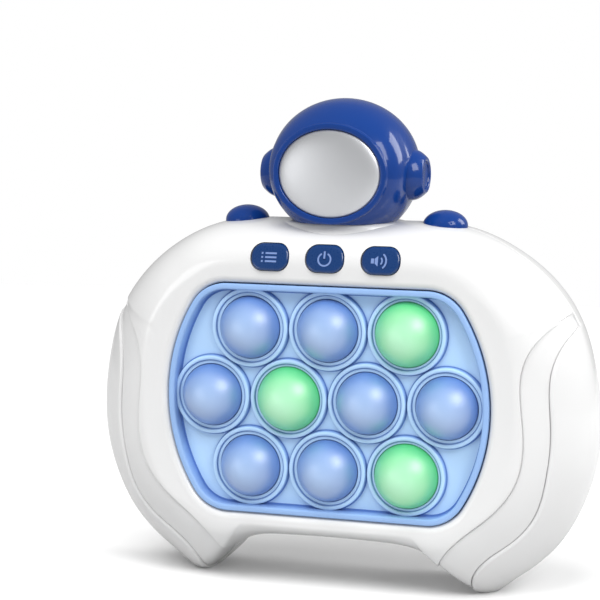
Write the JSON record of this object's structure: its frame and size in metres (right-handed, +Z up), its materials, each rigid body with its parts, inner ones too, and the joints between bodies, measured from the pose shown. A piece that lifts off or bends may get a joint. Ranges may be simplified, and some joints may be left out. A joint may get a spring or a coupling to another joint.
{
  "type": "electronic bubble pop game",
  "caption": "Upright handheld game: white two-lobed case with lit silicone push bubbles, function buttons, a blue helmet figure on top, speaker and battery bay behind.",
  "frame": {"origin": "on the ground under the middle of the case, half way between its front and back", "axes": "+X to the player's right, +Y from the player through the case to its back, +Z up; the bubbles face -Y"},
  "size_m": [0.1608, 0.048, 0.1509],
  "materials": {
    "white_shell": "glossy moulded white",
    "royal_blue": "glossy moulded royal blue",
    "button_blue": "glossy deep blue with pale printed symbols",
    "silver_visor": "satin silver lacquer",
    "mat_silicone": "smooth soft light blue",
    "bubble_silicone": "smooth soft light blue, slightly see-through",
    "lit_silicone": "smooth soft, lit green from behind",
    "clear_plastic": "clear moulded",
    "inner_plastic": "plain moulded",
    "circuit_board": "green lacquer",
    "switch_plastic": "plain black",
    "lamp_plastic": "pale lens",
    "screw_steel": "zinc plated",
    "contact_steel": "nickel plated",
    "battery_jacket": "plain dark jacket",
    "speaker_metal": "plated basket",
    "speaker_paper": "black cone",
    "lead_sleeve": "plain sleeve"
  },
  "bodies": {
    "case": {"front_shell": "white_shell", "rear_shell": "white_shell", "helmet_front": "royal_blue", "helmet_rear": "royal_blue", "ear_cup_left": "royal_blue", "ear_cup_right": "royal_blue", "hand_left": "royal_blue", "hand_right": "royal_blue", "visor": "silver_visor", "bubble_mat": "mat_silicone", "guide_plate": "inner_plastic", "circuit_board": "circuit_board", "bubble_switches": "switch_plastic", "function_switches": "switch_plastic", "sound_chip": "switch_plastic", "lamps": "lamp_plastic", "case_screws": "screw_steel", "board_screws": "screw_steel", "battery_contacts": "contact_steel", "battery_springs": "contact_steel", "battery_1": "battery_jacket", "battery_2": "battery_jacket", "battery_3": "battery_jacket", "speaker_basket": "speaker_metal", "speaker_cone": "speaker_paper", "speaker_leads": "lead_sleeve", "battery_leads": "lead_sleeve"},
    "bubble_01": {"bubble_01": "bubble_silicone", "plunger_01": "clear_plastic"},
    "bubble_02": {"bubble_02": "bubble_silicone", "plunger_02": "clear_plastic"},
    "bubble_03": {"bubble_03": "lit_silicone", "plunger_03": "clear_plastic"},
    "bubble_04": {"bubble_04": "bubble_silicone", "plunger_04": "clear_plastic"},
    "bubble_05": {"bubble_05": "lit_silicone", "plunger_05": "clear_plastic"},
    "bubble_06": {"bubble_06": "bubble_silicone", "plunger_06": "clear_plastic"},
    "bubble_07": {"bubble_07": "bubble_silicone", "plunger_07": "clear_plastic"},
    "bubble_08": {"bubble_08": "bubble_silicone", "plunger_08": "clear_plastic"},
    "bubble_09": {"bubble_09": "bubble_silicone", "plunger_09": "clear_plastic"},
    "bubble_10": {"bubble_10": "lit_silicone", "plunger_10": "clear_plastic"},
    "menu_button": {"menu_button": "button_blue"},
    "power_button": {"power_button": "button_blue"},
    "volume_button": {"volume_button": "button_blue"},
    "battery_door": {"battery_door": "white_shell", "door_screw": "screw_steel"}
  },
  "joints": [
    {"name": "bubble_01_press", "type": "slide", "parent": "case", "child": "bubble_01", "axis": [0, 1, 0], "range_m": [0, 0.004], "stiffness_N_per_m": 500},
    {"name": "bubble_02_press", "type": "slide", "parent": "case", "child": "bubble_02", "axis": [0, 1, 0], "range_m": [0, 0.004], "stiffness_N_per_m": 500},
    {"name": "bubble_03_press", "type": "slide", "parent": "case", "child": "bubble_03", "axis": [0, 1, 0], "range_m": [0, 0.004], "stiffness_N_per_m": 500},
    {"name": "bubble_04_press", "type": "slide", "parent": "case", "child": "bubble_04", "axis": [0, 1, 0], "range_m": [0, 0.004], "stiffness_N_per_m": 500},
    {"name": "bubble_05_press", "type": "slide", "parent": "case", "child": "bubble_05", "axis": [0, 1, 0], "range_m": [0, 0.004], "stiffness_N_per_m": 500},
    {"name": "bubble_06_press", "type": "slide", "parent": "case", "child": "bubble_06", "axis": [0, 1, 0], "range_m": [0, 0.004], "stiffness_N_per_m": 500},
    {"name": "bubble_07_press", "type": "slide", "parent": "case", "child": "bubble_07", "axis": [0, 1, 0], "range_m": [0, 0.004], "stiffness_N_per_m": 500},
    {"name": "bubble_08_press", "type": "slide", "parent": "case", "child": "bubble_08", "axis": [0, 1, 0], "range_m": [0, 0.004], "stiffness_N_per_m": 500},
    {"name": "bubble_09_press", "type": "slide", "parent": "case", "child": "bubble_09", "axis": [0, 1, 0], "range_m": [0, 0.004], "stiffness_N_per_m": 500},
    {"name": "bubble_10_press", "type": "slide", "parent": "case", "child": "bubble_10", "axis": [0, 1, 0], "range_m": [0, 0.004], "stiffness_N_per_m": 500},
    {"name": "menu_press", "type": "slide", "parent": "case", "child": "menu_button", "axis": [0, 1, 0], "range_m": [0, 0.0012], "stiffness_N_per_m": 1500},
    {"name": "power_press", "type": "slide", "parent": "case", "child": "power_button", "axis": [0, 1, 0], "range_m": [0, 0.0012], "stiffness_N_per_m": 1500},
    {"name": "volume_press", "type": "slide", "parent": "case", "child": "volume_button", "axis": [0, 1, 0], "range_m": [0, 0.0012], "stiffness_N_per_m": 1500},
    {"name": "battery_door_off", "type": "slide", "parent": "case", "child": "battery_door", "axis": [0, 1, 0], "range_m": [0, 0.03]}
  ]
}
